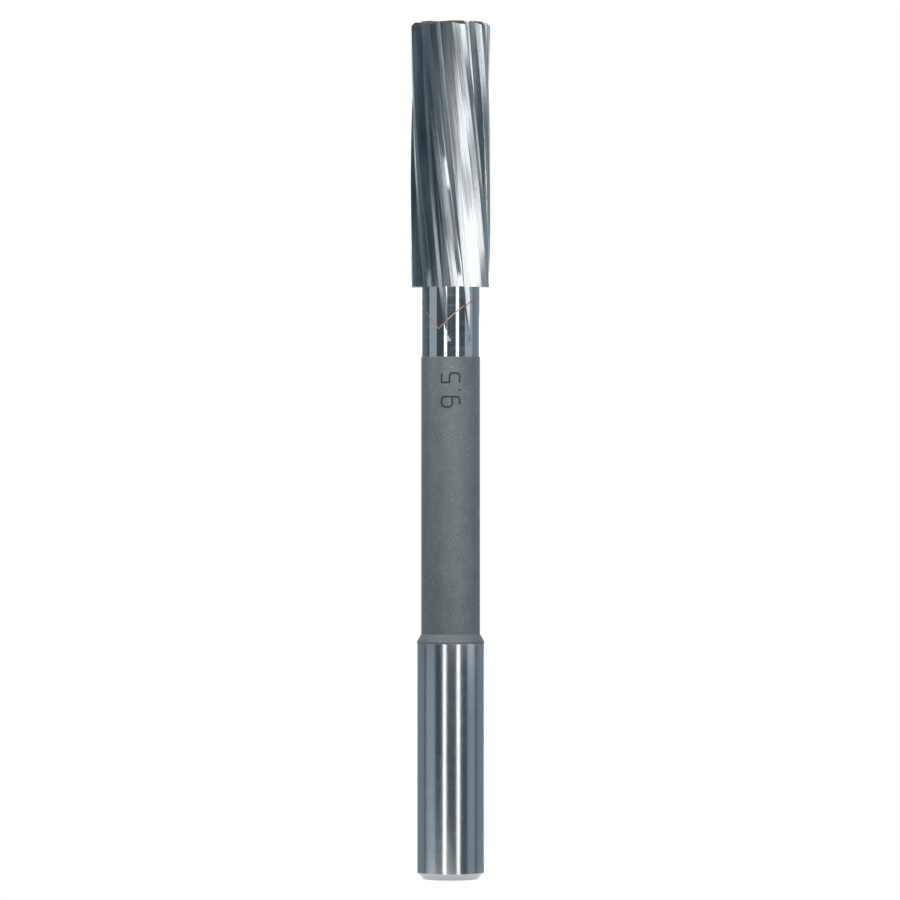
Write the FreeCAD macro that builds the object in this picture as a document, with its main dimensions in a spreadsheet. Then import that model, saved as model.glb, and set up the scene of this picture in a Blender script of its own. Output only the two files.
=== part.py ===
"""Machine reamer with a brazed carbide head, straight cylindrical shank and eight helical flutes.

The tool stands on its shank: the origin is the centre of the shank's end face and +Z runs up the
axis to the cutting end. Angles round the axis start at -Y, which is the front, and grow towards +X.

It is made the way the real one is. A stepped blank is turned, the flutes are ground through the
head and run out in the neck, and the tool is parted along the V-shaped brazed joint into a carbide
head, a thin seam of braze and a steel shank. Lengths are in millimetres and angles in degrees.
"""
import FreeCAD, Part
import math
import os

import Sketcher

SIZES = (
    # name, value, meaning
    ("cutting_dia", 9.5, "diameter over the margins of the teeth"),
    ("cutting_len", 31.5, "fluted head, from its shoulder to the front face"),
    ("lead_chamfer", 0.45, "45 degree lead at the front of the teeth"),
    ("bright_dia", 6.86, "polished neck just behind the head"),
    ("bright_len", 8.3, "length of the polished neck"),
    ("neck_dia", 7.0, "blasted neck"),
    ("neck_len", 33.0, "length of the blasted neck"),
    ("cone_len", 0.9, "cone between the neck and the shank"),
    ("shank_dia", 8.0, "ground cylindrical shank"),
    ("shank_len", 28.3, "shank, from its end face to the cone"),
    ("shank_chamfer", 0.75, "45 degree chamfer at the shank's end"),
    ("centre_dia", 3.3, "mouth of the 60 degree centre holes"),
    ("pilot_dia", 1.6, "pilot drilling of the centre holes"),
    ("pilot_depth", 3.6, "full depth of the pilot drilling"),
    ("helix_angle", 8.0, "left-hand helix of the flutes"),
    ("first_edge", -67.7, "place of the first cutting edge at the head's shoulder"),
    ("pitch_1", 41.0, "from one cutting edge to the next; opposite teeth are a pair"),
    ("pitch_2", 47.0, "second spacing"),
    ("pitch_3", 54.0, "third spacing"),
    ("pitch_4", 38.0, "fourth spacing; the four add up to half a turn"),
    ("margin_turn", 1.5, "cylindrical margin behind each cutting edge"),
    ("land_turn", 7.0, "relieved land behind the margin"),
    ("land_relief", 6.0, "its fall from the tangent"),
    ("heel_turn", 10.6, "second relief behind the land"),
    ("heel_relief", 19.0, "its fall from the tangent"),
    ("face_lean", 6.0, "lean of the cutting face from the radius"),
    ("flute_depth", 1.6, "depth of the flutes below the cutting diameter"),
    ("foot_rise", 0.32, "height above the flute's floor at which the cutting face ends"),
    ("floor_share", 0.19, "place of the flute's floor, as a share of the spacing"),
    ("gash_rise", 0.43, "height of the gash's outer edge above the flute's floor"),
    ("gash_share", 0.43, "place of the gash's outer edge, as a share of the spacing"),
    ("wheel_dia", 110.0, "grinding wheel that leaves the run-out of the flutes"),
    ("seam_depth", 5.0, "tip of the V joint below the head's shoulder"),
    ("seam_slope", 45.0, "slope of the two faces of the V joint"),
    ("seam_gap", 0.14, "thickness of the braze"),
    ("seam_turn", -24.2, "direction of the joint's ridge round the axis"),
)

NAME, VALUE, MEANING = range(3)

SHOULDER = "(Sizes.shank_len + Sizes.cone_len + Sizes.neck_len + Sizes.bright_len)"
TIP = "(Sizes.shank_len + Sizes.cone_len + Sizes.neck_len + Sizes.bright_len + Sizes.cutting_len)"

CENTRE_SLOPE = 30      # half the angle of a centre hole's cone
DRILL_SLOPE = 31       # slope of the drill's point at the bottom of the pilot
OVERRUN = 1.5          # how far a cutter or a parting tool reaches past what it cuts
FACE_LIP = 0.15        # how far a cutter goes on past the cutting edge, in line with the face
LIP_SHARE = 0.4        # how far it goes on past the land, as a share of the margin
LEAST_BITE = 0.1       # least depth in the neck that a cutter's run-out allows for
RUNOUT_SPARE = 1.3     # length of a cutter's run-out, as a multiple of what the neck needs
STATION = 3.0          # spacing of a flute cutter's sections in the head
RUNOUT_STATIONS = 5    # sections of a flute cutter along its run-out
NECK_CLEAR = 0.3       # how far the sloping joint's outline goes on outside the neck


def make_sheet(doc):
    sheet = doc.addObject("Spreadsheet::Sheet", "Sizes")
    for row, entry in enumerate(SIZES, start=1):
        sheet.set("A%d" % row, entry[NAME])
        sheet.set("B%d" % row, str(entry[VALUE]))
        sheet.set("C%d" % row, entry[MEANING])
        sheet.setAlias("B%d" % row, entry[NAME])
    doc.recompute()
    return sheet


def origin_plane(body, role):
    return next(feature for feature in body.Origin.OriginFeatures if feature.Role == role)


def new_body(doc, name):
    body = doc.addObject("PartDesign::Body", name)
    body.Label = name
    return body


def outline(body, name, corners):
    """A closed outline in the body's XZ plane. Each corner is a pair of expressions."""
    sketch = body.newObject("Sketcher::SketchObject", name)
    sketch.AttachmentSupport = [(origin_plane(body, "XZ_Plane"), "")]
    sketch.MapMode = "FlatFace"
    places = [[float(sketch.evalExpression(text)) for text in corner] for corner in corners]
    points = [FreeCAD.Vector(x, y, 0) for x, y in places]
    for start, end in zip(points, points[1:] + points[:1]):
        sketch.addGeometry(Part.LineSegment(start, end), False)
    count = len(corners)
    for side in range(count):
        sketch.addConstraint(Sketcher.Constraint("Coincident", side, 2, (side + 1) % count, 1))
    for side, (corner, place) in enumerate(zip(corners, places)):
        for kind, text, size in zip(("DistanceX", "DistanceY"), corner, place):
            index = sketch.addConstraint(Sketcher.Constraint(kind, -1, 1, side, 1, size))
            sketch.setExpression("Constraints[%d]" % index, text)
    return sketch


def turned(body, kind, name, sketch):
    """A Revolution or a Groove of the sketch round the tool's axis."""
    feature = body.newObject("PartDesign::" + kind, name)
    feature.Profile = sketch
    feature.ReferenceAxis = (sketch, ["V_Axis"])
    feature.Angle = 360
    return feature


def make_blank(doc):
    """The turned blank: shank, cone, neck and head, with a centre hole in each end."""
    body = new_body(doc, "blank")
    shank, neck = "Sizes.shank_dia / 2", "Sizes.neck_dia / 2"
    bright, head = "Sizes.bright_dia / 2", "Sizes.cutting_dia / 2"
    cone_top = "Sizes.shank_len + Sizes.cone_len"
    bright_start = cone_top + " + Sizes.neck_len"
    profile = outline(body, "blank_profile", (
        ("0", "0"),
        (shank + " - Sizes.shank_chamfer", "0"),
        (shank, "Sizes.shank_chamfer"),
        (shank, "Sizes.shank_len"),
        (neck, cone_top),
        (neck, bright_start),
        (bright, bright_start),
        (bright, SHOULDER),
        (head, SHOULDER),
        (head, TIP + " - Sizes.lead_chamfer"),
        (head + " - Sizes.lead_chamfer", TIP),
        ("0", TIP),
    ))
    turned(body, "Revolution", "turned_blank", profile)
    doc.recompute()
    for name, face, inward in (("shank_centre", "0", " + "), ("front_centre", TIP, " - ")):
        mouth, pilot = "Sizes.centre_dia / 2", "Sizes.pilot_dia / 2"
        cone_depth = "(%s - %s) / tan(%g)" % (mouth, pilot, CENTRE_SLOPE)
        point_depth = "%s * tan(%g)" % (pilot, DRILL_SLOPE)
        profile = outline(body, name + "_profile", (
            ("0", face),
            (mouth, face),
            (pilot, face + inward + cone_depth),
            (pilot, face + inward + "Sizes.pilot_depth"),
            ("0", face + inward + "(Sizes.pilot_depth + %s)" % point_depth),
        ))
        turned(body, "Groove", name, profile)
        doc.recompute()
    return body


def polar(radius, angle):
    """A point in the section plane: angle 0 is the front, -Y, and angles grow towards +X."""
    turn = math.radians(angle)
    return FreeCAD.Vector(radius * math.sin(turn), -radius * math.cos(turn), 0)


def falling(point, width, relief):
    """The point reached from a land's leading edge, going back a width in degrees round the axis,
    on a straight line that falls by the relief angle from the tangent."""
    turn, fall = math.radians(width), math.radians(relief)
    radius = point.Length * math.cos(fall) / math.cos(fall - turn)
    return polar(radius, math.degrees(math.atan2(point.x, -point.y)) - width)


def face_point(edge, inward, radius):
    """The point at a radius on the cutting face, which runs inward from the edge."""
    along = edge.dot(inward)
    return edge - inward * (along + math.sqrt(along ** 2 - edge.Length ** 2 + radius ** 2))


def flute_section(size, spacing):
    """The cutter's section between a cutting edge at angle 0 and the next tooth, at angle spacing.

    It runs down the cutting face, over the bevel at its foot to the flute's floor, up the gash, and
    over the next tooth's back, second relief and land. It closes outside the blank. The second
    result is the floor's place, towards which the cutter lifts out.
    """
    edge_radius = size("cutting_dia") / 2
    root = edge_radius - size("flute_depth")
    lean = math.radians(size("face_lean"))
    inward = FreeCAD.Vector(math.sin(lean), math.cos(lean), 0)
    edge = polar(edge_radius, 0)
    face_foot = face_point(edge, inward, root + size("foot_rise"))
    floor = polar(root, size("floor_share") * spacing)
    gash_edge = polar(root + size("gash_rise"), size("gash_share") * spacing)
    margin_back = polar(edge_radius, spacing - size("margin_turn"))
    land_back = falling(margin_back, size("land_turn"), size("land_relief"))
    heel = falling(land_back, size("heel_turn"), size("heel_relief"))

    # Both ends leave the blank in line with the face and the land, then run straight outwards.
    lip = margin_back + (margin_back - land_back) * (LIP_SHARE * size("margin_turn") / size("land_turn"))
    face_lip = edge - inward * FACE_LIP
    outside = (edge_radius + OVERRUN) / edge_radius
    corners = [face_lip * outside, face_lip, face_foot, floor, gash_edge]
    corners += [heel, land_back, lip, lip * outside]
    return Part.makePolygon(corners + corners[:1]), floor


def make_cutter(doc, size, number, place, spacing):
    """The space that one flute takes up, from above the front face to the end of its run-out.

    The section climbs the left-hand helix. Below the shoulder it lifts out along the wheel's own
    circle, until it is clear of the neck. No single feature does both, so this one is a loft
    through the section's stations, which are worked out here from the sheet.
    """
    edge_radius = size("cutting_dia") / 2
    shoulder = sum(size(name) for name in ("shank_len", "cone_len", "neck_len", "bright_len"))
    tip = shoulder + size("cutting_len")
    twist = math.degrees(math.tan(math.radians(size("helix_angle"))) / edge_radius)
    section, floor = flute_section(size, spacing)
    outward = floor / floor.Length

    bite = max(size("bright_dia") / 2 - floor.Length, LEAST_BITE)
    runout = RUNOUT_SPARE * math.sqrt(size("wheel_dia") * bite)
    heights = [shoulder - runout * step / RUNOUT_STATIONS for step in range(RUNOUT_STATIONS, 0, -1)]
    steps = math.ceil((tip + OVERRUN - shoulder) / STATION)
    heights += [shoulder + (tip + OVERRUN - shoulder) * step / steps for step in range(steps + 1)]

    up = FreeCAD.Vector(0, 0, 1)
    wires = []
    for height in heights:
        lift = max(shoulder - height, 0) ** 2 / size("wheel_dia")
        wire = section.copy()
        wire.translate(outward * lift)
        wire.rotate(FreeCAD.Vector(), up, place - twist * (height - shoulder))
        wire.translate(up * height)
        wires.append(wire)
    cutter = doc.addObject("Part::Feature", "flute_%d" % number)
    cutter.Shape = Part.makeLoft(wires, True, False)
    return cutter


def grind_flutes(doc, size, blank):
    """The blank with its eight flutes: four spacings, and the same four again half a turn on."""
    spacings = [size("pitch_%d" % number) for number in (1, 2, 3, 4)] * 2
    place = size("first_edge")
    cutters = []
    for number, spacing in enumerate(spacings, start=1):
        cutters.append(make_cutter(doc, size, number, place, spacing))
        place += spacing
    flutes = doc.addObject("Part::Compound", "flutes")
    flutes.Links = cutters
    ground = doc.addObject("Part::Cut", "ground_tool")
    ground.Base = blank
    ground.Tool = flutes
    return ground


def vee(gap_side):
    """The joint's line across the neck: down one slope to the tip and up the other."""
    tip = "(%s - Sizes.seam_depth %s Sizes.seam_gap / 2 / cos(Sizes.seam_slope))" % (SHOULDER, gap_side)
    reach = "(Sizes.bright_dia / 2 + %g)" % NECK_CLEAR
    top = "(%s + %s * tan(Sizes.seam_slope))" % (tip, reach)
    wide = "(max(Sizes.cutting_dia; Sizes.shank_dia) / 2 + %g)" % OVERRUN
    return [("-" + wide, top), ("-" + reach, top), ("0", tip), (reach, top), (wide, top)]


def make_zone(doc, name, corners):
    """A block across the whole tool with the joint's outline on one or both of its sides."""
    body = new_body(doc, name)
    sketch = outline(body, name + "_outline", corners)
    pad = body.newObject("PartDesign::Pad", name + "_pad")
    pad.Profile = sketch
    pad.Midplane = True
    pad.setExpression("Length", "max(Sizes.cutting_dia; Sizes.shank_dia) + %g" % (2 * OVERRUN))
    body.setExpression(".Placement.Rotation.Angle", "Sizes.seam_turn")
    doc.recompute()
    return body


def part_off(doc, name, tool, zone):
    piece = doc.addObject("Part::Common", name)
    piece.Label = name
    piece.Base = tool
    piece.Tool = zone
    return piece


def main():
    doc = FreeCAD.newDocument("machine_reamer")
    sheet = make_sheet(doc)
    blank = make_blank(doc)
    ground = grind_flutes(doc, sheet.get, blank)

    carbide_line, steel_line = vee("+"), vee("-")
    wide = carbide_line[-1][0]
    above, below = TIP + " + %g" % OVERRUN, "-%g" % OVERRUN
    head_zone = make_zone(doc, "head_zone", carbide_line + [(wide, above), ("-" + wide, above)])
    seam_zone = make_zone(doc, "seam_zone", steel_line + carbide_line[::-1])
    shank_zone = make_zone(doc, "shank_zone", steel_line + [(wide, below), ("-" + wide, below)])
    pieces = [
        part_off(doc, "cutting_head", ground, head_zone),
        part_off(doc, "braze_seam", ground, seam_zone),
        part_off(doc, "shank", ground, shank_zone),
    ]
    doc.recompute()

    for item in doc.Objects:
        if "Invalid" in item.State or "Error" in item.State:
            raise RuntimeError("%s failed: %s" % (item.Label, item.State))
    for piece in pieces:
        if piece.Shape.isNull() or not piece.Shape.isValid():
            raise RuntimeError("%s has no valid shape" % piece.Label)
    os.makedirs("parts", exist_ok=True)
    for piece in pieces:
        piece.Shape.exportStep("parts/%s.step" % piece.Label)
        print(piece.Label, "solids", len(piece.Shape.Solids), "volume %.3f" % piece.Shape.Volume)


main()
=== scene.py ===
"""Looks of the machine reamer: smooth ground surfaces, the brazed joint, finishes and the studio.

Everything is in metres in the CAD's frame: the tool stands on its shank, +Z up its axis. Angles
round the axis start at the front, -Y, and grow towards +X. The head, the seam and the shank each
take the place of one CAD node, which is hidden.
"""
import math

import bmesh
import bpy
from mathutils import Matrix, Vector


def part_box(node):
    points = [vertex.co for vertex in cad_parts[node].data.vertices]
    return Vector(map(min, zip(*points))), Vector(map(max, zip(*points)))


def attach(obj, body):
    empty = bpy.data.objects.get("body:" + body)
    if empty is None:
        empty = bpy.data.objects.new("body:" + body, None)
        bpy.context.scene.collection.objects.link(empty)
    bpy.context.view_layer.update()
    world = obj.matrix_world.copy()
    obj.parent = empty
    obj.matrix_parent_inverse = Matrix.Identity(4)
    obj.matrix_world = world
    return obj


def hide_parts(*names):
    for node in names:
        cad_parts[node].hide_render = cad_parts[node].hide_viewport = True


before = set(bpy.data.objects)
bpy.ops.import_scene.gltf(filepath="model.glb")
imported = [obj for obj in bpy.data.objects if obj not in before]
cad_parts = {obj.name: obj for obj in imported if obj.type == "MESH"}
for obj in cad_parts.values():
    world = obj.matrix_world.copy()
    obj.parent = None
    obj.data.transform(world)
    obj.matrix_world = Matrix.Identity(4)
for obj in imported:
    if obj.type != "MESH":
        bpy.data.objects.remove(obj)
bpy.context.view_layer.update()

MM = 0.001

# ---- sizes, as the CAD has them; lengths along the axis come from the frame's boxes -------------
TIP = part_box("cutting_head")[1].z
CUTTING_LEN = 31.5 * MM
SHOULDER = TIP - CUTTING_LEN
CUTTING_R = 4.75 * MM
LEAD = 0.45 * MM
BRIGHT_R = 3.43 * MM
BRIGHT_LEN = 8.3 * MM
NECK_R = 3.5 * MM
NECK_LEN = 33.0 * MM
SHANK_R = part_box("shank")[1].x
SHANK_LEN = 28.3 * MM
SHANK_CHAMFER = 0.75 * MM
CENTRE_R = 1.65 * MM
PILOT_R = 0.8 * MM
PILOT_DEPTH = 3.6 * MM
CENTRE_SLOPE = math.radians(30)
DRILL_SLOPE = math.radians(31)
MOUTH_DEPTH = (CENTRE_R - PILOT_R) / math.tan(CENTRE_SLOPE)
BLAST_OVER = 0.25 * MM     # the blasting reaches this far onto the shank
BREAK = 0.02 * MM          # how much the turned corners are broken
HELIX = math.radians(8.0)
FIRST_EDGE = -67.7         # angle of the first cutting edge at the shoulder, in degrees
SPACINGS = (41.0, 47.0, 54.0, 38.0)    # degrees from edge to edge, twice round
MARGIN_TURN = 1.5          # widths behind the cutting edge and the angles they fall by, in degrees
LAND_TURN = 7.0
LAND_RELIEF = 6.0
HEEL_TURN = 10.6
HEEL_RELIEF = 19.0
FACE_LEAN = 6.0
FLUTE_DEPTH = 1.6 * MM
FOOT_RISE = 0.32 * MM      # the foot of the tooth's face above the flute's floor
FLOOR_SHARE = 0.19         # place of the floor, as a share of the spacing
GASH_RISE = 0.43 * MM      # the gash's edge above the floor
GASH_SHARE = 0.43          # its place, as a share of the spacing
WHEEL_DIA = 110 * MM       # the grinding wheel that the flutes run out with
SEAM_DEPTH = 5.0 * MM      # from the shoulder to the joint's lowest line
SEAM_GAP = 0.14 * MM
SEAM_SLOPE = math.radians(45)
SEAM_TURN = math.radians(-24.2)

TWIST = math.degrees(math.tan(HELIX) / CUTTING_R)     # degrees for each metre up the axis
BRIGHT_START = SHOULDER - BRIGHT_LEN
CONE_TOP = BRIGHT_START - NECK_LEN
ROOT_R = CUTTING_R - FLUTE_DEPTH

HEAD_STEP = 0.30 * MM      # spacing of the head's rings
NECK_STEP = 0.10 * MM      # spacing of the rings where the flutes run out
SUPPORT = 0.02 * MM        # how close to a corner a side has its first point
ROUND_STEPS = 4            # steps of a rounded corner
CORNER_SHARE = 0.45        # most of a side that a rounded corner takes
SUPPORT_SHARE = 0.2        # most of a side that lies before its first point
CORNER_RADII = (0.22 * MM, 0.16 * MM, 0.05 * MM, 0.03 * MM, 0.02 * MM)  # from the face's foot on
SIDE_PARTS = (5, 3, 4, 5, 4, 4)        # parts of each side, from the face on
MARGIN_SHARES = (0.8, 0.5)  # points on the margin, as shares of its width
EDGE_HONE = 0.012 * MM     # width of the honing of the cutting edges
NEAR = 0.0005 * MM         # closer than this, points count as one
SAME_SPOT = NEAR / 5       # vertices closer than this are merged
GROOVE_REACH = 16.0        # widest half of a groove in the neck, in degrees
HALVINGS = 30              # steps of the search for a groove's rim
EVEN_BY = 0.4 * MM         # below the shoulder by this much, a ring's points are evenly spread
SPREAD_BY = 1.1 * MM       # below a groove's end by this much, they are even round the whole neck
FACE_SHARES = (0.18, 0.44, 0.72, 1.0)  # rings of the front face, from the centre hole to its rim

SHARP = math.radians(27)   # edges that turn by more than this are drawn sharp
UPRIGHT = 0.5              # most that the normal of a face of a round points up or down
SNAP = 0.00002 * MM        # points this close to the joint's planes count as on them
ON_JOINT = 4 * SNAP        # how far a cut edge may lie from the joint
ON_POINT = 2 * SNAP        # how far its ends may lie from the joint's lowest line
CUT_BEYOND = 1 * MM        # how far below the joint and above the shoulder faces are cut
ACROSS_SEAM = Vector((math.cos(SEAM_TURN), math.sin(SEAM_TURN), 0))
SEAM_RISE = math.tan(SEAM_SLOPE)

FINISHES = ("hole", "end", "lead", "shoulder", "flute", "relief", "land", "margin",
            "polished", "blasted", "ground", "mark")
KINDS = ("floor", "flute", "relief", "land", "margin")     # of surface, from flute to cutting edge
HEAD_FINISH = {kind: "flute" if kind == "floor" else kind for kind in KINDS}
NECK_FINISH = {kind: "flute" if kind == "floor" else "polished" for kind in KINDS}
TURNED = (      # radius, height and finish of the turned rings below the polished neck
    (BRIGHT_R, BRIGHT_START, "polished"),
    (NECK_R - BREAK, BRIGHT_START, "shoulder"),
    (NECK_R, BRIGHT_START - BREAK, "shoulder"),
    (NECK_R, CONE_TOP, "blasted"),
    (SHANK_R - BREAK, SHANK_LEN + BREAK, "blasted"),
    (SHANK_R, SHANK_LEN - BREAK, "blasted"),
    (SHANK_R, SHANK_LEN - BLAST_OVER, "blasted"),
    (SHANK_R, SHANK_CHAMFER + 1.5 * BREAK, "ground"),
    (SHANK_R - BREAK / 2, SHANK_CHAMFER, "ground"),
    (SHANK_R - SHANK_CHAMFER + BREAK / 2, BREAK, "end"),
    (SHANK_R - SHANK_CHAMFER - BREAK, 0, "end"),
    (CENTRE_R, 0, "end"),
    (PILOT_R, MOUTH_DEPTH, "hole"),
    (PILOT_R, PILOT_DEPTH, "hole"),
)


# ---- the flutes' section ------------------------------------------------------------------------
def polar(radius, angle):
    turn = math.radians(angle)
    return Vector((radius * math.sin(turn), -radius * math.cos(turn)))


def angle_of(point):
    return math.degrees(math.atan2(point.x, -point.y))


def falling(point, width, relief):
    """Back round the axis by a width, on a straight line that falls from the tangent."""
    turn, fall = math.radians(width), math.radians(relief)
    radius = point.length * math.cos(fall) / math.cos(fall - turn)
    return polar(radius, angle_of(point) - width)


def rounded(before, corner, after, radius):
    """The corner as an arc of about that radius, limited by the sides beside it."""
    into, out = before - corner, after - corner
    half = into.angle(out) / 2
    reach = min(radius / math.tan(half), CORNER_SHARE * into.length, CORNER_SHARE * out.length)
    start, end = corner + into.normalized() * reach, corner + out.normalized() * reach
    centre = corner + (into.normalized() + out.normalized()).normalized() * (reach / math.cos(half))
    size = (start - centre).length
    points = []
    for step in range(ROUND_STEPS + 1):
        way = (start - centre).slerp(end - centre, step / ROUND_STEPS)
        points.append(centre + way.normalized() * size)
    return points


def side(start, end, parts):
    """Points along a straight side, with one close to each end so that the corners stay crisp."""
    length = (end - start).length
    near = min(SUPPORT / length, SUPPORT_SHARE)
    shares = [near] + [near + (1 - 2 * near) * step / parts for step in range(1, parts)] + [1 - near]
    return [start.lerp(end, share) for share in shares]


def softened(corners, radii, parts):
    """An open outline with rounded corners: its first and last corner stay as they are."""
    arcs = [[corners[0]]]
    for index in range(1, len(corners) - 1):
        arcs.append(rounded(*corners[index - 1:index + 2], radii[index - 1]))
    arcs.append([corners[-1]])
    points = []
    for arc, following, count in zip(arcs, arcs[1:], parts):
        points += arc + side(arc[-1], following[0], count)
    return points + arcs[-1]


def with_crossings(points, radius):
    """The outline with a point added wherever it crosses the circle of that radius."""
    full = [points[0]]
    for start, end in zip(points, points[1:]):
        below, above = start.length - radius, end.length - radius
        if below * above < 0 and min(abs(below), abs(above)) > NEAR:
            full.append(start.lerp(end, below / (below - above)))
        full.append(end)
    return full


def tooth_space(spacing):
    """The head's outline from one cutting edge, at angle 0, to the next: face, floor, gash, lands."""
    lean = math.radians(FACE_LEAN)
    inward = Vector((math.sin(lean), math.cos(lean)))
    edge = polar(CUTTING_R, 0)
    along = edge.dot(inward)
    foot_r = ROOT_R + FOOT_RISE
    face_foot = edge - inward * (along + math.sqrt(along ** 2 - CUTTING_R ** 2 + foot_r ** 2))
    floor = polar(ROOT_R, FLOOR_SHARE * spacing)
    gash_edge = polar(ROOT_R + GASH_RISE, GASH_SHARE * spacing)
    margin_back = polar(CUTTING_R, spacing - MARGIN_TURN)
    land_back = falling(margin_back, LAND_TURN, LAND_RELIEF)
    heel = falling(land_back, HEEL_TURN, HEEL_RELIEF)
    corners = [edge + inward * EDGE_HONE, face_foot, floor, gash_edge, heel, land_back, margin_back]
    points = softened(corners, CORNER_RADII, SIDE_PARTS)
    points += [polar(CUTTING_R, spacing - MARGIN_TURN * share) for share in MARGIN_SHARES]
    points.append(polar(CUTTING_R, spacing - math.degrees(EDGE_HONE / CUTTING_R)))
    return with_crossings(with_crossings(points, CUTTING_R - LEAD), BRIGHT_R)


def radius_at(points, angle):
    """The outline's radius at an angle, from its points in order of angle."""
    for start, end in zip(points, points[1:]):
        low, high = angle_of(start), angle_of(end)
        if low <= angle <= high and high > low:
            way = end - start
            ray = polar(1, angle)
            return (start.x * way.y - start.y * way.x) / (ray.x * way.y - ray.y * way.x)
    return points[-1].length


def rim_reach(points, floor_angle, way):
    """How far an outline stays inside the neck to one side of its floor, in degrees."""
    near, far = 0.0, GROOVE_REACH
    for _ in range(HALVINGS):
        middle = (near + far) / 2
        if radius_at(points, floor_angle + way * middle) < BRIGHT_R:
            near = middle
        else:
            far = middle
    return far


def kind_at(back):
    """The kind of surface at that many degrees before the cutting edge that ends a tooth space."""
    if back > MARGIN_TURN + LAND_TURN + HEEL_TURN:
        return "flute"
    if back > MARGIN_TURN + LAND_TURN:
        return "relief"
    return "land" if back > MARGIN_TURN else "margin"


class Gap:
    """One tooth space: its outline, its place round the head, and which points lie in the neck."""

    def __init__(self, edge_angle, spacing):
        self.edge_angle, self.spacing = edge_angle, spacing
        self.points = tooth_space(spacing)
        self.angles = [angle_of(point) % 360 for point in self.points]
        inside = [index for index, point in enumerate(self.points) if point.length < BRIGHT_R + NEAR]
        self.first, self.last = inside[0], inside[-1]
        self.along = [0.0]
        for start, end in zip(self.points, self.points[1:]):
            self.along.append(self.along[-1] + (end - start).length)

    def head_ring(self, height):
        turn = self.edge_angle - TWIST * (height - SHOULDER)
        return [(angle + turn, point.length) for angle, point in zip(self.angles, self.points)]

    def groove(self, depth):
        """The outline as it has risen at a depth below the shoulder, and its two rims on the neck."""
        floor_angle = FLOOR_SHARE * self.spacing
        lift = polar(depth ** 2 / WHEEL_DIA, floor_angle)
        risen = [point + lift for point in self.points]
        low, high = (floor_angle + way * rim_reach(risen, floor_angle, way) for way in (-1, 1))
        return risen, low, high


def eased(share):
    share = min(1.0, max(0.0, share))
    return share * share * (3 - 2 * share)


def between(low, high, shares):
    return [low + (high - low) * share for share in shares]


def shares_of(values, evenness):
    """How far each value lies from the first to the last, drawn towards even steps."""
    reach, steps = values[-1] - values[0], len(values) - 1
    return [(value - values[0]) / reach * (1 - evenness) + step / steps * evenness
            for step, value in enumerate(values)]


def groove_length(gaps):
    """How far below the shoulder the last groove rises to the neck's surface."""
    depth = 0.0
    while min(point.length for gap in gaps for point in gap.groove(depth)[0]) < BRIGHT_R:
        depth += NECK_STEP
    return depth


def neck_ring(gaps, depth, ended):
    """Angles and radii round the neck: grooves that rise to its surface, and the round between.

    The grooves have ended at the depth of that name, and below it the points spread out evenly.
    """
    evenness = eased(depth / EVEN_BY)
    turn = TWIST * depth
    spread = eased((depth - ended) / SPREAD_BY)
    grooves = [gap.groove(depth) for gap in gaps]
    ring = []
    for index, gap in enumerate(gaps):
        risen, low, high = grooves[index]
        next_index = (index + 1) % len(gaps)
        following = gaps[next_index]
        next_low = grooves[next_index][1] + gap.spacing
        inside = gap.angles[gap.first:gap.last + 1]
        for angle in between(low, high, shares_of(inside, evenness)):
            ring.append((angle + gap.edge_angle, min(BRIGHT_R, radius_at(risen, angle))))
        outside = gap.angles[gap.last:]
        outside += [angle + gap.spacing for angle in following.angles[:following.first + 1]]
        for angle in between(high, next_low, shares_of(outside, evenness))[1:-1]:
            ring.append((angle + gap.edge_angle, BRIGHT_R))
    first = gaps[0].edge_angle + gaps[0].angles[gaps[0].first]
    even = [first + 360 * step / len(ring) for step in range(len(ring))]
    return [(angle * (1 - spread) + level * spread + turn, radius)
            for (angle, radius), level in zip(ring, even)]


# ---- one skin over the whole tool, then parted at the joint ---------------------------------------
def place(ring, height):
    """The points in space of a ring of angles and radii."""
    points = []
    for angle, radius in ring:
        flat = polar(radius, angle)
        points.append(Vector((flat.x, flat.y, height)))
    return points


def clipped(ring, limit):
    return [(angle, min(radius, limit)) for angle, radius in ring]


def steps(start, end, longest):
    count = max(1, math.ceil(abs(end - start) / longest))
    return [start + (end - start) * step / count for step in range(1, count + 1)]


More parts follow.
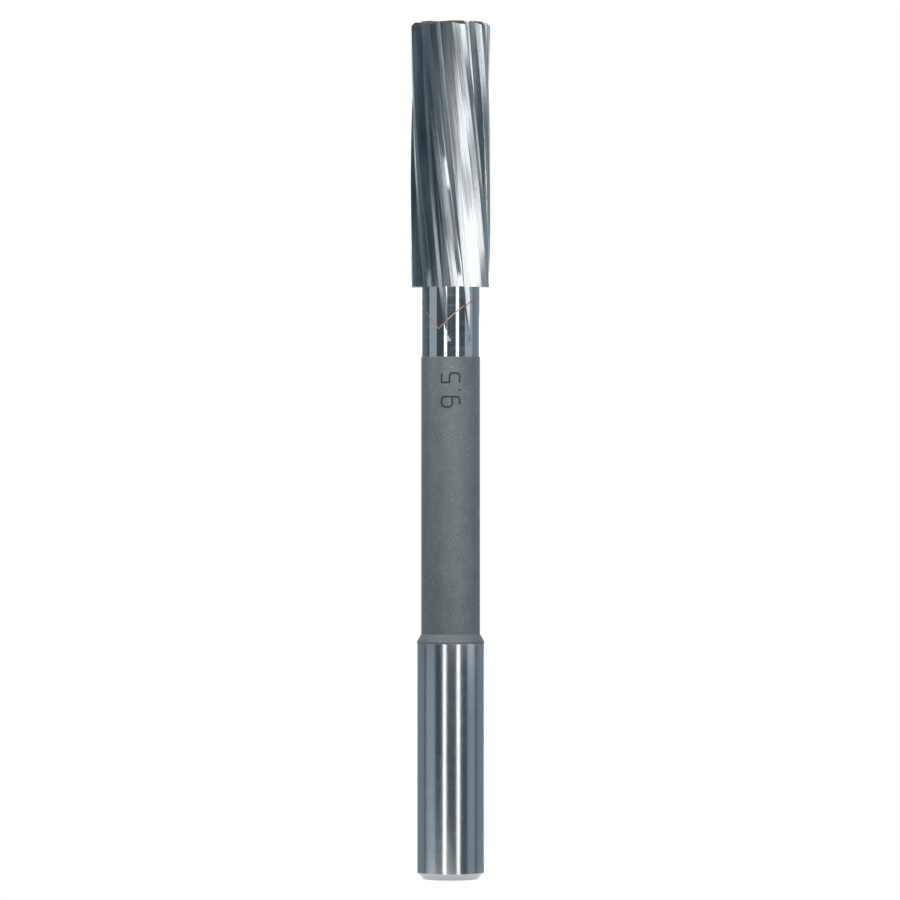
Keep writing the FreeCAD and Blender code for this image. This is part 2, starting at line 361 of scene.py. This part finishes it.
class Skin:
    """Rings from the front to the shank's end, and the finish of each face between two of them.

    Every ring has the same number of points. It starts where the first groove does in the neck.
    """

    def __init__(self, gaps):
        self.gaps, self.start = gaps, gaps[0].first
        self.rings, self.finishes = [], []
        self.kinds = []     # the kind of surface after each point
        self.across = []    # how far round the outline each point lies
        total = 0.0
        for gap in gaps:
            for index, (low, high) in enumerate(zip(gap.angles, gap.angles[1:] + [gap.spacing])):
                in_neck = gap.first <= index < gap.last
                self.kinds.append("floor" if in_neck else kind_at(gap.spacing - (low + high) / 2))
                self.across.append(total + gap.along[index])
            total += gap.along[-1]
        self.kinds = self.kinds[self.start:] + self.kinds[:self.start]
        self.across = self.across[self.start:] + self.across[:self.start]

    def head_ring(self, height):
        ring = [point for gap in self.gaps for point in gap.head_ring(height)]
        return ring[self.start:] + [(angle + 360, radius) for angle, radius in ring[:self.start]]

    def add(self, points, finish):
        """A ring, and the finish of the faces before it: one name, or one for each kind of surface."""
        self.rings.append(points)
        self.finishes.append(finish)

    def build(self):
        mesh = bmesh.new()
        across = mesh.verts.layers.float.new("across")
        loops = []
        for points in self.rings:
            loop = []
            for point, value in zip(points, self.across):
                vert = mesh.verts.new(point)
                vert[across] = value / MM
                loop.append(vert)
            loops.append(loop)
        for first, second, finish in zip(loops, loops[1:], self.finishes[1:]):
            for index, kind in enumerate(self.kinds):
                following = (index + 1) % len(self.kinds)
                face = mesh.faces.new((first[index], second[index],
                                       second[following], first[following]))
                chosen = finish if isinstance(finish, str) else finish[kind]
                face.material_index = FINISHES.index(chosen)
        for loop, deeper in ((loops[0], -1), (loops[-1], 1)):
            tip = mesh.verts.new((0, 0, loop[0].co.z + deeper * PILOT_R * math.tan(DRILL_SLOPE)))
            for index, vert in enumerate(loop):
                face = mesh.faces.new((vert, loop[(index + 1) % len(loop)], tip))
                face.material_index = FINISHES.index("hole")
        bmesh.ops.remove_doubles(mesh, verts=mesh.verts, dist=SAME_SPOT)
        bmesh.ops.recalc_face_normals(mesh, faces=mesh.faces)
        return mesh


def tool_skin():
    """The whole tool as one mesh, from the front's centre hole to the shank's."""
    gaps, edge_angle = [], FIRST_EDGE
    for spacing in SPACINGS * 2:
        gaps.append(Gap(edge_angle, spacing))
        edge_angle += spacing
    skin = Skin(gaps)
    tip_ring = skin.head_ring(TIP)
    face_rim = clipped(tip_ring, CUTTING_R - LEAD)

    def circle(radius):
        return [(angle, radius) for angle, _ in tip_ring]

    skin.add(place(circle(PILOT_R), TIP - PILOT_DEPTH), "hole")
    skin.add(place(circle(PILOT_R), TIP - MOUTH_DEPTH), "hole")
    skin.add(place(circle(CENTRE_R), TIP), "hole")
    for share in FACE_SHARES:
        ring = [(angle, CENTRE_R + (radius - CENTRE_R) * share) for angle, radius in face_rim]
        skin.add(place(ring, TIP), "end")

    chamfer = []
    for angle, radius in tip_ring:
        drop = max(0.0, radius - (CUTTING_R - LEAD))
        flat = polar(radius, angle + TWIST * drop)
        chamfer.append(Vector((flat.x, flat.y, TIP - drop)))
    skin.add(chamfer, "lead")
    for height in steps(TIP - LEAD, SHOULDER, HEAD_STEP):
        skin.add(place(skin.head_ring(height), height), HEAD_FINISH)
    ended = groove_length(gaps)
    skin.add(place(neck_ring(gaps, 0.0, ended), SHOULDER), "shoulder")
    even_depth = ended + SPREAD_BY
    for depth in steps(0.0, even_depth, NECK_STEP):
        skin.add(place(neck_ring(gaps, depth, ended), SHOULDER - depth), NECK_FINISH)

    even = [angle for angle, _ in neck_ring(gaps, even_depth, ended)]
    here = Vector((BRIGHT_R, SHOULDER - even_depth))
    for radius, height, finish in TURNED:
        there = Vector((radius, height))
        for level in side(here, there, 1) + [there]:
            skin.add(place([(angle, level.x) for angle in even], level.y), finish)
        here = there
    return skin.build()


def joint_height(tip, point):
    """The height of the V joint over a point, where its lowest line is at the height tip."""
    return tip + abs(point.dot(ACROSS_SEAM)) * SEAM_RISE


def part_at(mesh, tip, keep_above):
    """Cut the skin at the V joint whose lowest line is at that height, and close the cut."""
    lowest, highest = tip - CUT_BEYOND, SHOULDER + CUT_BEYOND

    def cut(normal, wanted):
        faces = []
        for face in mesh.faces:
            centre = face.calc_center_median()
            if lowest < centre.z < highest and wanted(centre):
                faces.append(face)
        parts = set(faces)
        for face in faces:
            parts.update(face.edges)
            parts.update(face.verts)
        bmesh.ops.bisect_plane(mesh, geom=list(parts), dist=SNAP, plane_co=(0, 0, tip), plane_no=normal)

    cut(ACROSS_SEAM, lambda centre: True)
    for way in (1, -1):
        cut((Vector((0, 0, 1)) - ACROSS_SEAM * SEAM_RISE * way).normalized(),
            lambda centre: centre.dot(ACROSS_SEAM) * way > 0)
    gone = []
    for face in mesh.faces:
        centre = face.calc_center_median()
        if (centre.z > joint_height(tip, centre)) != keep_above:
            gone.append(face)
    bmesh.ops.delete(mesh, geom=gone, context="FACES")

    rim = [edge for edge in mesh.edges if edge.is_boundary
           and all(abs(vert.co.z - joint_height(tip, vert.co)) < ON_JOINT for vert in edge.verts)]
    ends = {vert for edge in rim for vert in edge.verts if abs(vert.co.dot(ACROSS_SEAM)) < ON_POINT}
    first, last = sorted(ends, key=lambda vert: vert.co.y)
    for way in (1, -1):
        sides = {edge for edge in rim if sum(vert.co.dot(ACROSS_SEAM) for vert in edge.verts) * way > 0}
        loop, here = [first], first
        while here is not last:
            edge = next(edge for edge in here.link_edges if edge in sides)
            sides.remove(edge)
            here = edge.other_vert(here)
            loop.append(here)
        mesh.faces.new(loop).material_index = FINISHES.index("shoulder")
    bmesh.ops.recalc_face_normals(mesh, faces=mesh.faces)


def round_normals(data):
    """Normals that point straight out on the faces of a round, however its points are spaced."""
    normals = [Vector((0, 0, 0))] * len(data.loops)     # a zero keeps the normal that the faces give
    for face in data.polygons:
        spots = [data.vertices[index].co for index in face.vertices]
        reaches = [spot.xy.length for spot in spots]
        on_side = min(reaches) > CENTRE_R + NEAR and abs(face.normal.z) < UPRIGHT
        if on_side and max(reaches) - min(reaches) < NEAR:
            for loop, spot in zip(face.loop_indices, spots):
                normals[loop] = Vector((spot.x, spot.y, 0)).normalized()
    data.normals_split_custom_set(normals)


def make_piece(name, mesh, kind):
    """An object of its own from a mesh, with its materials and sharp edges."""
    for face in mesh.faces:
        face.smooth = True
    for edge in mesh.edges:
        finishes = {face.material_index for face in edge.link_faces}
        edge.smooth = edge.calc_face_angle(0.0) < SHARP and len(finishes) == 1
    data = bpy.data.meshes.new(name)
    mesh.to_mesh(data)
    mesh.free()
    used = sorted({face.material_index for face in data.polygons})
    for index in used:
        data.materials.append(material_for(kind, FINISHES[index]))
    for face in data.polygons:
        face.material_index = used.index(face.material_index)
    round_normals(data)
    piece = bpy.data.objects.new(name, data)
    bpy.context.scene.collection.objects.link(piece)
    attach(piece, "root")
    return piece


# ---- materials --------------------------------------------------------------------------------------
class Finish:
    """A metal finish, with short ways to add its nodes and to set or link their sockets."""

    def __init__(self, name):
        self.material = bpy.data.materials.new(name)
        self.material.use_nodes = True
        self.tree = self.material.node_tree
        self.shader = self.tree.nodes["Principled BSDF"]
        self.shader.inputs["Metallic"].default_value = 1.0

    def node(self, kind, inputs=(), **settings):
        made = self.tree.nodes.new(kind)
        for key, value in settings.items():
            setattr(made, key, value)
        for key, value in dict(inputs).items():
            self.put(made.inputs[key], value)
        return made

    def put(self, socket, value):
        if isinstance(value, bpy.types.NodeSocket):
            self.tree.links.new(value, socket)
        else:
            socket.default_value = value

    def math(self, operation, first, second):
        return self.node("ShaderNodeMath", {0: first, 1: second}, operation=operation).outputs[0]

    def blend(self, first, second, share):
        """That share of the first pattern, and the rest of the second."""
        return self.math("ADD", self.math("MULTIPLY", first, share),
                         self.math("MULTIPLY", second, 1 - share))

    def ramp(self, value, low, high, start=0.3, end=0.7):
        """A value, mostly between start and end, spread from low to high."""
        return self.node("ShaderNodeMapRange", {"Value": value, "From Min": start, "From Max": end,
                                                "To Min": low, "To Max": high}).outputs[0]

    def place_in_mm(self):
        spot = self.node("ShaderNodeTexCoord").outputs["Object"]
        return self.node("ShaderNodeVectorMath", {0: spot, "Scale": 1 / MM},
                         operation="SCALE").outputs[0]

    def stretched(self, scale):
        """Places on the object in millimetres, times a scale for each axis."""
        return self.node("ShaderNodeVectorMath", {0: self.place_in_mm(), 1: scale},
                         operation="MULTIPLY").outputs[0]

    def along_flutes(self, across_scale, up_scale):
        """Places on the head: how far round its outline, and how far up it, each times a scale."""
        across = self.node("ShaderNodeAttribute", attribute_name="across").outputs["Fac"]
        up = self.node("ShaderNodeSeparateXYZ", {0: self.place_in_mm()}).outputs["Z"]
        return self.node("ShaderNodeCombineXYZ", {
            "X": self.math("MULTIPLY", across, across_scale),
            "Y": self.math("MULTIPLY", up, up_scale)}).outputs[0]

    def noise(self, vector, scale=1.0, detail=3.0, roughness=0.55):
        return self.node("ShaderNodeTexNoise", {"Vector": vector, "Scale": scale, "Detail": detail,
                                                "Roughness": roughness}).outputs["Fac"]

    def colour(self, pattern, dark, light):
        """The dark colour where the pattern is 0, the light one where it is 1."""
        mix = self.node("ShaderNodeMix", {0: pattern}, data_type="RGBA")
        mix.inputs[6].default_value = (*dark, 1)
        mix.inputs[7].default_value = (*light, 1)
        self.put(self.shader.inputs["Base Color"], mix.outputs[2])

    def roughness(self, value):
        self.put(self.shader.inputs["Roughness"], value)

    def bump(self, height, depth):
        """Relief of that depth in millimetres."""
        made = self.node("ShaderNodeBump", {"Height": height, "Distance": depth * MM})
        self.put(self.shader.inputs["Normal"], made.outputs[0])


CARBIDE = (0.57, 0.575, 0.575)
STEEL = (0.54, 0.56, 0.575)
COPPER = (0.66, 0.40, 0.29)
CHAMFER_DARK_BROWN = (0.11, 0.09, 0.075)        # the lead chamfers, dark brown
BLASTED = (0.30, 0.32, 0.322)
ENGRAVED = (0.09, 0.10, 0.105)     # the size mark
LINE_AND_REFLECTION_COLOUR = (0.50, 0.57, 0.61)   # grinding lines, with a painted bluish reflection in their colour, before they are shaded
GRAIN_TONE = 0.42                  # how far the blasted grain reaches towards its light colour


def shaded(colour, share):
    return tuple(value * share for value in colour)


def ground_lengthways(name, colour, roughness, relief, across_scale=3.0, darkest=0.84):
    """Ground along the flutes: fine lines that follow them, whose dark bluish colour is partly a painted
    reflection.
    """
    made = Finish(name)
    lines = made.noise(made.along_flutes(across_scale, 0.06), detail=6.0, roughness=0.65)
    patches = made.noise(made.along_flutes(0.9, 0.15), detail=2.0)
    both = made.blend(lines, patches, share=0.65)
    made.colour(made.ramp(both, 0, 1, start=0.36, end=0.60), shaded(LINE_AND_REFLECTION_COLOUR, darkest), colour)
    made.roughness(made.ramp(both, *roughness))
    made.bump(lines, relief)
    return made.material


def ground_round(name, colour, roughness, relief, up_scale=14.0, round_scale=0.35):
    """Ground while turning: fine lines round the axis."""
    made = Finish(name)
    lines = made.noise(made.stretched((round_scale, round_scale, up_scale)), detail=4.0)
    marks = made.noise(made.stretched((0.5, 0.5, 1.3)), detail=3.0)
    both = made.blend(lines, marks, share=0.6)
    made.colour(made.ramp(both, 0, 1), shaded(colour, 0.9), colour)
    made.roughness(made.ramp(both, *roughness))
    made.bump(lines, relief)
    return made.material


def blasted(name, colour, sparkle=1.0):
    """Bead blasted: small dents on a matte ground, and here and there a smoother one with a painted
    glint in its colour.
    """
    made = Finish(name)
    dents = made.noise(made.place_in_mm(), scale=8.0, detail=5.0, roughness=0.75)
    clouds = made.noise(made.stretched((1, 1, 0.6)), scale=0.7, detail=2.0)
    cells = made.node("ShaderNodeTexVoronoi", {"Vector": made.place_in_mm(), "Scale": 7.0})
    chance = made.node("ShaderNodeSeparateColor", {0: cells.outputs["Color"]}).outputs[0]
    # painted glints: where sparks is high, the colour is lifted towards 1.9 times the metal's, and those
    # dents are also smoother
    sparks = made.math("MULTIPLY", made.ramp(chance, 0, sparkle, start=0.80, end=0.98),
                       made.ramp(cells.outputs["Distance"], 1, 0, start=0.1, end=0.5))
    grain = made.ramp(made.blend(dents, clouds, share=0.75), 0, GRAIN_TONE)
    made.colour(made.math("ADD", grain, sparks), shaded(colour, 0.72), shaded(colour, 1.9))
    made.roughness(made.ramp(sparks, 0.52, 0.30, start=0.0, end=1.0))
    made.bump(dents, 0.02)
    return made.material


def brazed(name, colour):
    """Solder as it froze, slightly uneven."""
    made = Finish(name)
    ripples = made.noise(made.place_in_mm(), scale=3.0, detail=4.0)
    made.colour(made.ramp(ripples, 0, 1), shaded(colour, 0.75), colour)
    made.roughness(made.ramp(ripples, 0.28, 0.46))
    made.bump(ripples, 0.004)
    return made.material


made_materials = {}


def material_for(kind, finish):
    """The material of a kind of piece where it has a finish, made when it is first asked for."""
    key = "braze" if kind == "braze" else kind + "_" + finish
    if key not in made_materials:
        metal = CARBIDE if kind == "carbide" else STEEL
        makers = {
            # the flutes and reliefs get darker lines, which are grinding lines and painted reflection
            # both
            "flute": lambda: ground_lengthways(key, metal, (0.06, 0.14), 0.022, 4.0, darkest=0.60),
            "relief": lambda: ground_lengthways(key, metal, (0.06, 0.14), 0.017, 4.5, darkest=0.60),
            "land": lambda: ground_lengthways(key, shaded(metal, 0.97), (0.05, 0.11), 0.0016, 6.0),
            "margin": lambda: ground_round(key, metal, (0.06, 0.12), 0.0001),
            "end": lambda: ground_round(key, shaded(metal, 0.9), (0.18, 0.32), 0.0005),
            "lead": lambda: ground_round(key, CHAMFER_DARK_BROWN, (0.16, 0.28), 0.0004),
            "shoulder": lambda: ground_round(key, shaded(metal, 0.8), (0.22, 0.36), 0.0005),
            "hole": lambda: ground_round(key, shaded(metal, 0.75), (0.24, 0.40), 0.0008),
            "polished": lambda: ground_round(key, metal, (0.03, 0.07), 0.00008, 10.0, 0.2),
            "ground": lambda: ground_round(key, metal, (0.15, 0.21), 0.0045, 5.0, 7.0),
            "blasted": lambda: blasted(key, BLASTED),
            "mark": lambda: blasted(key, ENGRAVED, sparkle=0.1),
        }
        made_materials[key] = brazed(key, COPPER) if kind == "braze" else makers[finish]()
    return made_materials[key]


# ---- the pieces -------------------------------------------------------------------------------------
half_gap = SEAM_GAP / 2 / math.cos(SEAM_SLOPE)
carbide_tip, steel_tip = SHOULDER - SEAM_DEPTH + half_gap, SHOULDER - SEAM_DEPTH - half_gap

whole = tool_skin()
head, seam, shank = whole, whole.copy(), whole.copy()
part_at(head, carbide_tip, True)
part_at(seam, carbide_tip, False)
part_at(seam, steel_tip, True)
part_at(shank, steel_tip, False)
for node_name, mesh, kind in (("cutting_head", head, "carbide"), ("braze_seam", seam, "braze"),
                              ("shank", shank, "steel")):
    piece = make_piece(node_name + "_look", mesh, kind)
    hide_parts(node_name)


# ---- the size mark: the cutting diameter in plain figures, read from the shank's end -----------------
MARK_START = 56.1 * MM      # height of the first figure's foot
MARK_STROKE = 0.22 * MM
MARK_STEP = 0.08 * MM       # longest step along a line, so that it follows the round neck
MARK_TALL = 2.4             # height of the figures, in millimetres
MARK_RISE, MARK_SINK = 0.005 * MM, 0.03 * MM   # how far a line stands out and reaches in
BOW_STEPS = 8


def bow(centre, reach, start, end):
    """An arc of a figure, from one angle to another, with a reach along and a reach up."""
    turns = [math.radians(start + (end - start) * step / BOW_STEPS) for step in range(BOW_STEPS + 1)]
    return [(centre[0] + reach[0] * math.cos(turn), centre[1] + reach[1] * math.sin(turn))
            for turn in turns]


def stroke(mesh, line):
    """A line of a figure, in millimetres along and up, as a thin closed band on the neck."""
    middle = [Vector(line[0]) * MM]
    for point in line[1:]:
        start, end = middle[-1], Vector(point) * MM
        count = math.ceil((end - start).length / MARK_STEP)
        middle += [start.lerp(end, step / count) for step in range(1, count + 1)]
    rows = []
    for index, point in enumerate(middle):
        ahead = middle[min(index + 1, len(middle) - 1)] - middle[max(index - 1, 0)]
        out = Vector((-ahead.y, ahead.x)).normalized() * MARK_STROKE / 2
        row = []
        for spot, radius in ((point + out, MARK_RISE), (point - out, MARK_RISE),
                             (point - out, -MARK_SINK), (point + out, -MARK_SINK)):
            turn = (spot.y - MARK_TALL * MM / 2) / NECK_R
            flat = polar(NECK_R + radius, -math.degrees(turn))
            row.append(mesh.verts.new((flat.x, flat.y, MARK_START + spot.x)))
        rows.append(row)
    for first, second in zip(rows, rows[1:]):
        for index in range(len(first)):
            following = (index + 1) % len(first)
            mesh.faces.new((first[index], first[following], second[following], second[index]))
    mesh.faces.new(rows[0])
    mesh.faces.new(rows[-1][::-1])


marks = bmesh.new()
nine = ([(0.72, 1.00), (0.55, 1.00)] + bow((0.55, 1.42), (0.45, 0.42), 270, 180)
        + bow((0.55, 1.87), (0.45, 0.42), 180, 90) + bow((0.88, 1.87), (0.45, 0.42), 90, 0)
        + [(1.33, 1.30)] + bow((0.93, 0.52), (0.40, 0.41), 0, -90) + [(0.40, 0.11)])
nine_bar = [(0.72, 1.00), (1.33, 1.00)]
point_mark = [(2.02, 0.11), (2.26, 0.11)]
five = ([(4.12, 2.29), (3.02, 2.29), (3.02, 1.32), (3.72, 1.32)]
        + bow((3.72, 0.92), (0.42, 0.40), 90, 0) + bow((3.72, 0.51), (0.42, 0.40), 0, -90)
        + [(3.00, 0.11)])
for line in (nine, nine_bar, point_mark, five):
    stroke(marks, line)
for face in marks.faces:
    face.material_index = FINISHES.index("mark")
bmesh.ops.recalc_face_normals(marks, faces=marks.faces)
make_piece("size_mark", marks, "steel")


# ---- studio: walls with light and dark bands, a floor, a white background --------------------------
def level_at(points, value):
    """A level between the listed ones, from (place, level) pairs in order of place."""
    for (low, first), (high, second) in zip(points, points[1:]):
        if value <= high:
            return first + (second - first) * max(0.0, value - low) / (high - low)
    return points[-1][1]


def stage_object(name, mesh, material):
    """An object of the studio from a mesh, with one material."""
    data = bpy.data.meshes.new(name)
    mesh.to_mesh(data)
    mesh.free()
    data.materials.append(material)
    made = bpy.data.objects.new(name, data)
    bpy.context.scene.collection.objects.link(made)
    return made


# The tables hold azimuths in degrees, 0 at the camera and growing towards +X, and the light there.
# The levels from FLOOR_BANDS to TOP_BANDS were typed from brightnesses that a scratch script had
# measured in the photo, so this isn't a plain studio. The report says which rule that breaks.
STRIP = 3.0
NECK_BANDS = (
    (-180, STRIP), (-168, STRIP), (-166, 0.36), (-104, 0.22), (-100, 0.12), (-56, 0.12), (-53, 0.12),
    (-27, 0.12), (-25, STRIP), (-15.5, STRIP), (-13.5, 0.12), (20.5, 0.12), (22.5, STRIP), (32, STRIP),
    (34, 0.12), (59, 0.12), (61, 2.2), (84, 2.2), (96, 0.5), (103, 0.36), (150, 0.42), (166, 0.6),
    (168, STRIP), (180, STRIP))
SHANK_BANDS = (
    (-180, STRIP), (-168, STRIP), (-166, 0.36), (-104, 0.36), (-100, 0.16), (-94, 0.16), (-90, 0.52),
    (-56, 0.52), (-53, 0.10), (-26, 0.10), (-24, STRIP), (-17, STRIP), (-15, 0.10),
    (21, 0.10), (23, STRIP), (30, STRIP), (32, 0.10), (58, 0.10), (61, 0.46), (90, 0.46),
    (93, 0.16), (99, 0.16), (103, 0.36), (166, 0.36), (168, STRIP), (180, STRIP))
BASE_BANDS = ((-180, 0.42), (180, 0.42))
FLOOR_BANDS = (
    (-180, 0.5), (-120, 0.4), (-90, 0.7), (-60, 1.8), (-35, 2.0), (-12, 2.9), (-4, 1.7), (4, 0.35),
    (60, 0.3), (110, 0.5), (130, 1.2), (160, 1.2), (180, 0.5))
LOW_BANDS = (
    (-180, 0.5), (-150, 0.3), (-104, 0.3), (-92, 0.6), (-78, 2.0), (-50, 2.3), (-46, 1.3), (-30, 1.2),
    (-20, 3.0), (0, 3.0), (10, 2.2), (22, 1.4), (36, 0.5), (80, 0.3), (110, 0.5), (130, 1.4),
    (160, 1.4), (180, 0.5))
UNDER_BANDS = (
    (-180, 0.5), (-120, 0.3), (-100, 0.4), (-88, 0.7), (-76, 1.6), (-50, 1.9), (-44, 1.2), (-32, 1.1),
    (-24, 2.4), (-14, 2.2), (-4, 1.7), (10, 2.2), (24, 1.8), (40, 0.9), (90, 0.4), (180, 0.5))
EVEN_BANDS = (
    (-180, 0.9), (-165, 0.9), (-140, 0.28), (-100, 0.13), (-50, 0.24), (-30, 0.6), (-18, 1.3), (-8, 1.0),
    (4, 1.7), (20, 1.9), (34, 1.5), (42, 1.1), (52, 2.4), (80, 2.4), (88, 0.6), (100, 0.35), (145, 0.4),
    (165, 0.7), (180, 0.9))
WIDE_BANDS = (
    (-180, 1.2), (-160, 0.85), (-148, 0.75), (-136, 0.35), (-110, 0.22), (-34, 0.25), (-26, 0.4),
    (-16, 0.9), (4, 1.0), (14, 0.45), (22, 0.6), (28, 1.9), (36, 1.6), (46, 0.5), (54, 0.3), (90, 0.33),
    (104, 0.3), (116, 0.5), (145, 0.55), (158, 0.9), (180, 1.2))
HIGH_BANDS = (
    (-180, 1.5), (-155, 1.3), (-142, 0.4), (-110, 0.24), (-60, 0.14), (-30, 0.18), (-6, 0.3), (4, 0.7),
    (14, 1.3), (30, 1.4), (44, 1.2), (54, 0.7), (66, 0.4), (90, 0.4), (120, 0.4), (150, 0.7),
    (180, 1.5))
UPPER_BANDS = (
    (-180, 0.6), (-130, 0.5), (-104, 1.1), (-86, 1.1), (-70, 0.3), (-10, 0.22), (15, 0.36), (60, 0.26),
    (100, 0.3), (140, 0.5), (180, 0.6))
TOP_BANDS = (
    (-180, 0.6), (-100, 0.5), (-50, 0.36), (-30, 0.2), (-10, 0.07), (0, 0.12), (10, 0.2), (20, 0.24),
    (40, 0.24), (100, 0.4), (180, 0.6))
TENT_R = 6.0
TENT_ROWS = (       # elevation in degrees, and the bands at that height
    (-40, BASE_BANDS), (-12.8, BASE_BANDS), (-11.4, FLOOR_BANDS), (-9.8, FLOOR_BANDS), (-8.4, LOW_BANDS),
    (-5.8, LOW_BANDS), (-4.8, UNDER_BANDS), (-2.3, UNDER_BANDS), (-1.6, EVEN_BANDS), (0.0, EVEN_BANDS),
    (0.4, NECK_BANDS), (1.9, NECK_BANDS), (2.2, WIDE_BANDS), (4.2, WIDE_BANDS), (5.2, HIGH_BANDS),
    (8, HIGH_BANDS), (10, UPPER_BANDS), (13, UPPER_BANDS), (16, TOP_BANDS), (40, TOP_BANDS))
SLEEVE_R, SLEEVE_LOW, SLEEVE_TOP = 0.2, -0.022, 0.027       # the wall of light that the shank sees
CARD_R, CARD_LOW, CARD_TOP = 0.06, 0.0615, 0.0730           # the grey cards beside the polished neck
CARD_SPANS = ((-92, -56), (58, 92))     # first and last azimuth
CARD_LEVEL = 0.6
DIM_TINT, BRIGHT_TINT = (0.52, 0.79, 1.0, 1), (1, 1, 1, 1)  # the light's colour at levels 0 and 1
FLOOR_R, FLOOR_GLOW = 0.008, 0.62
FLOOR_SIDES = 128
FLOOR_COLOUR = (0.9, 0.9, 0.9, 1)
FLOOR_ROUGHNESS = 0.9
WORLD_LEVEL = 0.75


def make_wall(name, radius, rows, first=-180, last=180):
    """An upright wall of light round the axis, from (height, bands) rows, unseen by the camera."""
    mesh = bmesh.new()
    glow = mesh.verts.layers.float.new("glow")
    loops = []
    for height, bands in rows:
        loop = []
        for azimuth in range(first, last + 1):
            flat = polar(radius, azimuth)
            vert = mesh.verts.new((flat.x, flat.y, height))
            vert[glow] = level_at(bands, azimuth)
            loop.append(vert)
        loops.append(loop)
    for lower, upper in zip(loops, loops[1:]):
        for index in range(len(lower) - 1):
            mesh.faces.new((lower[index], lower[index + 1], upper[index + 1], upper[index]))
    material = bpy.data.materials.new(name)
    material.use_nodes = True
    nodes, links = material.node_tree.nodes, material.node_tree.links
    nodes.clear()
    level = nodes.new("ShaderNodeAttribute")
    level.attribute_name = "glow"
    tint = nodes.new("ShaderNodeMix")
    tint.data_type = "RGBA"
    tint.inputs[6].default_value = DIM_TINT
    tint.inputs[7].default_value = BRIGHT_TINT
    light = nodes.new("ShaderNodeEmission")
    output = nodes.new("ShaderNodeOutputMaterial")
    links.new(level.outputs["Fac"], tint.inputs[0])
    links.new(tint.outputs[2], light.inputs["Color"])
    links.new(level.outputs["Fac"], light.inputs["Strength"])
    links.new(light.outputs[0], output.inputs["Surface"])
    wall = stage_object(name, mesh, material)
    wall.visible_camera = False
    wall.visible_shadow = False


def make_walls():
    """The tent for the head and the neck, the sleeve for the shank, and the two cards."""
    make_wall("tent", TENT_R, [(TIP / 2 + TENT_R * math.tan(math.radians(elevation)), bands)
                               for elevation, bands in TENT_ROWS])
    make_wall("sleeve", SLEEVE_R, [(SLEEVE_LOW, SHANK_BANDS), (SLEEVE_TOP, SHANK_BANDS)])
    for index, (first, last) in enumerate(CARD_SPANS):
        even = ((first, CARD_LEVEL), (last, CARD_LEVEL))
        make_wall("card_%d" % index, CARD_R, [(CARD_LOW, even), (CARD_TOP, even)], first, last)


def seen_white(nodes, links):
    """1 where the camera, a mirror or a clear surface looks at it, and 0 where it only gives light."""
    path = nodes.new("ShaderNodeLightPath")
    total = path.outputs["Is Camera Ray"]
    for name in ("Is Glossy Ray", "Is Transmission Ray"):
        added = nodes.new("ShaderNodeMath")
        added.operation = "MAXIMUM"
        links.new(total, added.inputs[0])
        links.new(path.outputs[name], added.inputs[1])
        total = added.outputs[0]
    return total


def make_floor():
    """A small white disc under the tool, which the white world carries on."""
    mesh = bmesh.new()
    bmesh.ops.create_circle(mesh, cap_ends=True, segments=FLOOR_SIDES, radius=FLOOR_R)
    material = bpy.data.materials.new("floor")
    material.use_nodes = True
    nodes, links = material.node_tree.nodes, material.node_tree.links
    shader = nodes["Principled BSDF"]
    shader.inputs["Base Color"].default_value = FLOOR_COLOUR
    shader.inputs["Roughness"].default_value = FLOOR_ROUGHNESS
    shader.inputs["Emission Color"].default_value = (1, 1, 1, 1)
    level = nodes.new("ShaderNodeMath")
    level.operation = "MULTIPLY"
    level.inputs[1].default_value = FLOOR_GLOW
    links.new(seen_white(nodes, links), level.inputs[0])
    links.new(level.outputs[0], shader.inputs["Emission Strength"])
    stage_object("floor", mesh, material)


def make_world():
    """White where the camera or a mirror sees it, and softer where it only gives light."""
    world = bpy.data.worlds.new("studio")
    world.use_nodes = True
    nodes, links = world.node_tree.nodes, world.node_tree.links
    background = nodes["Background"]
    background.inputs["Color"].default_value = (1, 1, 1, 1)
    level = nodes.new("ShaderNodeMapRange")
    level.inputs["To Min"].default_value = WORLD_LEVEL
    level.inputs["To Max"].default_value = 1.0
    links.new(seen_white(nodes, links), level.inputs["Value"])
    links.new(level.outputs[0], background.inputs["Strength"])
    bpy.context.scene.world = world


make_walls()
make_floor()
make_world()
bpy.context.scene.view_settings.view_transform = "Standard"

# ---- camera -----------------------------------------------------------------------------------------
CAMERA_AWAY = 0.69          # in metres, as the other lengths
CLIP_START = 0.01
SENSOR = 36.0               # in millimetres
VIEW_WIDTH = 0.10728        # how much of the object's plane the picture spans
MIDDLE = 0.0511             # height of the picture's middle
ASIDE = -0.00007            # place of the picture's middle, left of the axis

lens = bpy.data.cameras.new("camera")
lens.sensor_width = SENSOR
lens.lens = SENSOR * CAMERA_AWAY / VIEW_WIDTH
lens.clip_start = CLIP_START
camera = bpy.data.objects.new("camera", lens)
camera.location = (ASIDE, -CAMERA_AWAY, MIDDLE)
camera.rotation_euler = (math.radians(90), 0, 0)
bpy.context.scene.collection.objects.link(camera)
bpy.context.scene.camera = camera
